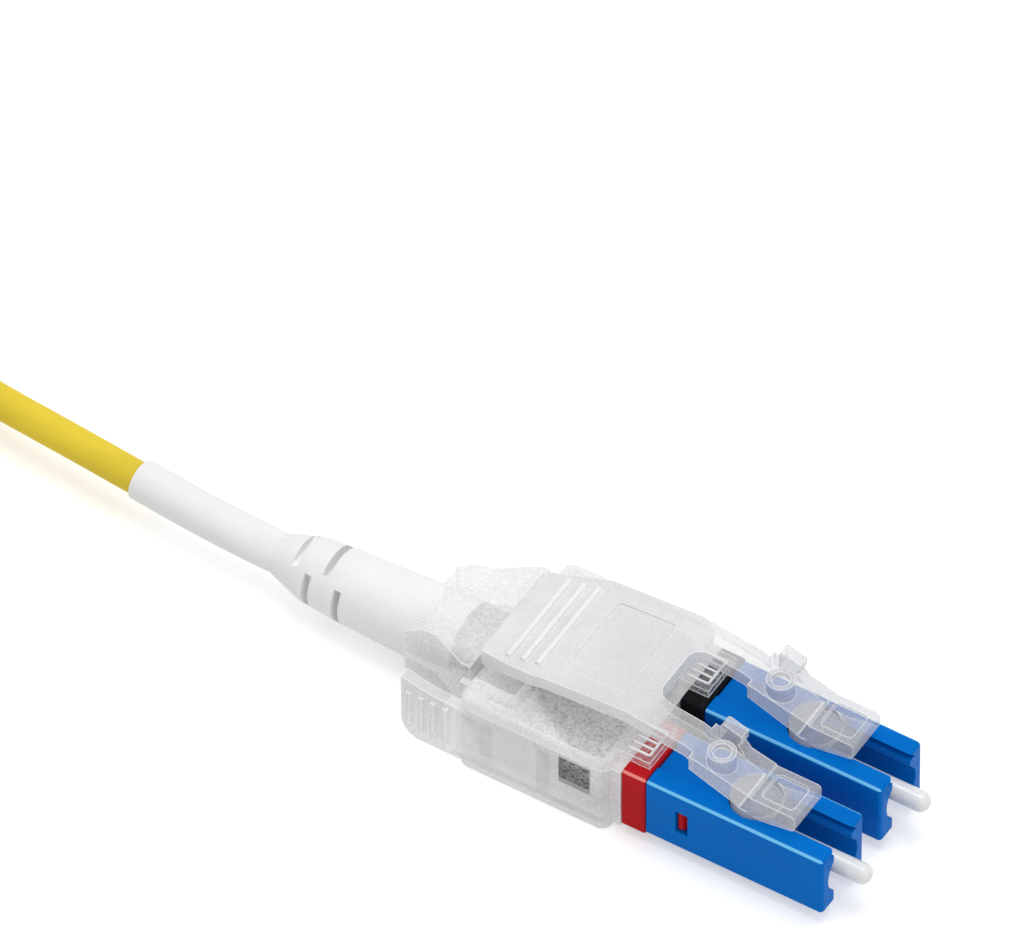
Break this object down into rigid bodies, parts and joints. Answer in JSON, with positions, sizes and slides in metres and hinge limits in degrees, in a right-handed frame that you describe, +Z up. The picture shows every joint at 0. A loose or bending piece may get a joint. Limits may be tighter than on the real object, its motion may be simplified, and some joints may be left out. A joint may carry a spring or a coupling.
{
  "type": "lc fibre connector",
  "caption": "Duplex fibre connector with two square plugs, a clear housing, a press plate over both latches, and a slotted boot on a thin cord wound into a hank.",
  "frame": {"origin": "centre of the near housing's flat underside", "axes": "+X along the plugs towards their mating ends, +Y across from plug a to plug b, +Z up through the latch cover"},
  "size_m": [0.1782, 0.0168, 0.009],
  "materials": {
    "blue_plug": "satin moulded plastic",
    "red_body": "satin moulded plastic",
    "black_body": "fine grain",
    "metal_holder": "nickel plated",
    "ceramic_ferrule": "ground white ceramic",
    "buffer_fibre": "smooth buffer",
    "black_yoke": "fine grain",
    "metal_ring": "drawn metal",
    "clear_shell": "frosted clear plastic",
    "clear_cover": "frosted clear plastic",
    "white_boot": "soft moulded rubber",
    "spring_steel": "spring wire",
    "yellow_jacket": "matt cable jacket",
    "tie_strap": "black strap"
  },
  "bodies": {
    "connector": {"plug_shell_a": "blue_plug", "plug_shell_b": "blue_plug", "rear_body_a": "red_body", "rear_body_b": "black_body", "fibre_a": "buffer_fibre", "fibre_b": "buffer_fibre", "inner_yoke": "black_yoke", "crimp_ring": "metal_ring", "lower_shell": "clear_shell", "upper_shell": "clear_shell", "boot": "white_boot", "spring_a": "spring_steel", "spring_b": "spring_steel", "cable_lead": "yellow_jacket", "cable_hank": "yellow_jacket", "hank_tie": "tie_strap", "cable_end": "yellow_jacket", "far_plug_shell_a": "blue_plug", "far_plug_shell_b": "blue_plug", "far_rear_body_a": "red_body", "far_rear_body_b": "black_body", "far_fibre_a": "buffer_fibre", "far_fibre_b": "buffer_fibre", "far_inner_yoke": "black_yoke", "far_crimp_ring": "metal_ring", "far_lower_shell": "clear_shell", "far_upper_shell": "clear_shell", "far_boot": "white_boot"},
    "latch": {"latch_cover": "clear_cover"},
    "ferrule_a_unit": {"ferrule_a": "ceramic_ferrule", "ferrule_holder_a": "metal_holder"},
    "ferrule_b_unit": {"ferrule_b": "ceramic_ferrule", "ferrule_holder_b": "metal_holder"},
    "far_latch": {"far_latch_cover": "clear_cover"},
    "far_ferrule_a_unit": {"far_ferrule_a": "ceramic_ferrule", "far_ferrule_holder_a": "metal_holder"},
    "far_ferrule_b_unit": {"far_ferrule_b": "ceramic_ferrule", "far_ferrule_holder_b": "metal_holder"}
  },
  "joints": [
    {"name": "latch_press", "type": "hinge", "parent": "connector", "child": "latch", "pos_m": [0.0152, 0, 0.00515], "axis": [0, -1, 0], "range_deg": [0, 3], "stiffness_Nm_per_rad": 0.5, "springref_deg": -0.57},
    {"name": "ferrule_a_float", "type": "slide", "parent": "connector", "child": "ferrule_a_unit", "axis": [-1, 0, 0], "range_m": [0, 0.0015], "stiffness_N_per_m": 1500, "springref_m": -0.002, "deforming": ["spring_a"]},
    {"name": "ferrule_b_float", "type": "slide", "parent": "connector", "child": "ferrule_b_unit", "axis": [-1, 0, 0], "range_m": [0, 0.0015], "stiffness_N_per_m": 1500, "springref_m": -0.002, "deforming": ["spring_b"]},
    {"name": "far_latch_press", "type": "hinge", "parent": "connector", "child": "far_latch", "pos_m": [-0.1532, 0, 0.00515], "axis": [0, 1, 0], "range_deg": [0, 3], "stiffness_Nm_per_rad": 0.5, "springref_deg": -0.57},
    {"name": "far_ferrule_a_float", "type": "slide", "parent": "connector", "child": "far_ferrule_a_unit", "axis": [1, 0, 0], "range_m": [0, 0.0015], "stiffness_N_per_m": 1500, "springref_m": -0.002},
    {"name": "far_ferrule_b_float", "type": "slide", "parent": "connector", "child": "far_ferrule_b_unit", "axis": [1, 0, 0], "range_m": [0, 0.0015], "stiffness_N_per_m": 1500, "springref_m": -0.002}
  ]
}
